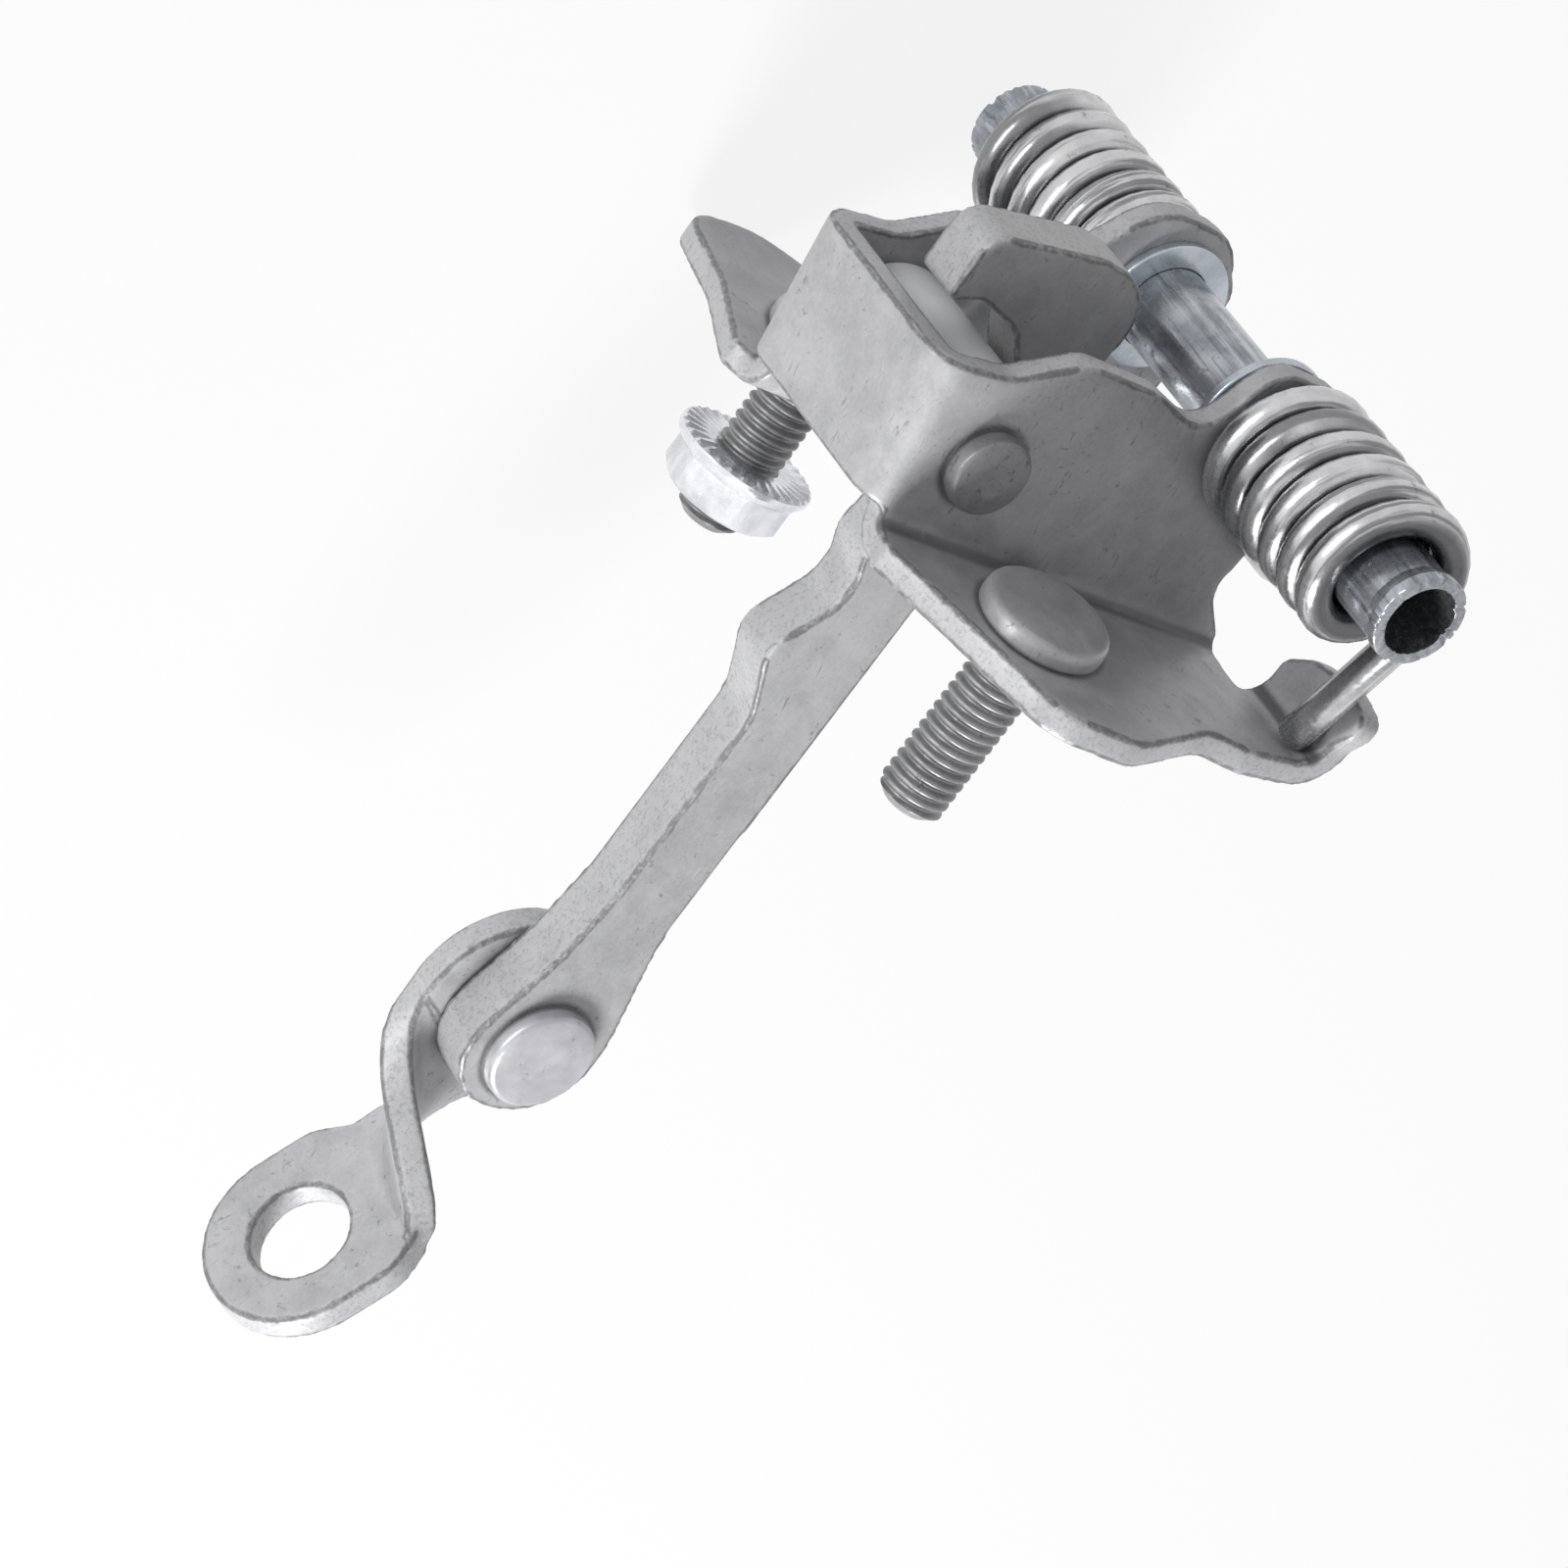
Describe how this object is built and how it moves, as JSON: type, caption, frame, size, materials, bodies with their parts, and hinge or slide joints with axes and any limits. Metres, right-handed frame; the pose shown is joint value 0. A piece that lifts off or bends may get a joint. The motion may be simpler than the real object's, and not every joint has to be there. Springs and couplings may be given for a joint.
{
  "type": "door limiter strap",
  "caption": "Door limiter with a sliding profiled arm, a channel bracket with roller and twin-coil spring, mounting studs and a twisted hinge tongue.",
  "frame": {"origin": "midway between the two mounting studs on the face that seats on the door", "axes": "+X along the studs and the arm towards the hinge tongue, +Y from the roller towards the spring tube, +Z along the roller pin away from the stud with the nut"},
  "size_m": [0.1205, 0.0486, 0.0728],
  "materials": {
    "housing_steel": "tumbled zinc-grey steel, bright on the bends",
    "arm_steel": "tumbled zinc-grey steel",
    "hinge_steel": "tumbled zinc-grey steel",
    "pin_steel": "dull",
    "tube_steel": "dull zinc with draw marks",
    "washer_zinc": "pale zinc",
    "spring_wire": "polished wire",
    "stud_steel": "dark grey thread",
    "nut_zinc": "bright zinc",
    "rivet_zinc": "bright zinc",
    "white_nylon": "satin moulded nylon"
  },
  "bodies": {
    "housing": {"housing_bracket": "housing_steel", "roller_pin": "pin_steel", "spring_tube": "tube_steel", "spacer_washers": "washer_zinc", "torsion_spring": "spring_wire", "mounting_stud_a": "stud_steel", "mounting_stud_b": "stud_steel", "flange_nut": "nut_zinc"},
    "roller": {"roller": "white_nylon"},
    "arm": {"strap_arm": "arm_steel", "pivot_rivet": "rivet_zinc"},
    "hinge": {"hinge_bracket": "hinge_steel"}
  },
  "joints": [
    {"name": "strap_slide", "type": "slide", "parent": "housing", "child": "arm", "axis": [0.9859, -0.1676, 0], "range_m": [-0.043, 0], "deforming": ["torsion_spring"]},
    {"name": "roller_spin", "type": "hinge", "parent": "housing", "child": "roller", "pos_m": [-0.0102, -0.00772, 0], "axis": [0, 0, 1], "range_deg": [0, 400]},
    {"name": "hinge_pivot", "type": "hinge", "parent": "arm", "child": "hinge", "pos_m": [0.0575, 0.0005, 0], "axis": [0, 0, 1], "range_deg": [-75, 75]}
  ],
  "couplings": [
    {"joint": "roller_spin", "follows": "strap_slide", "rad_per_m": -160}
  ]
}
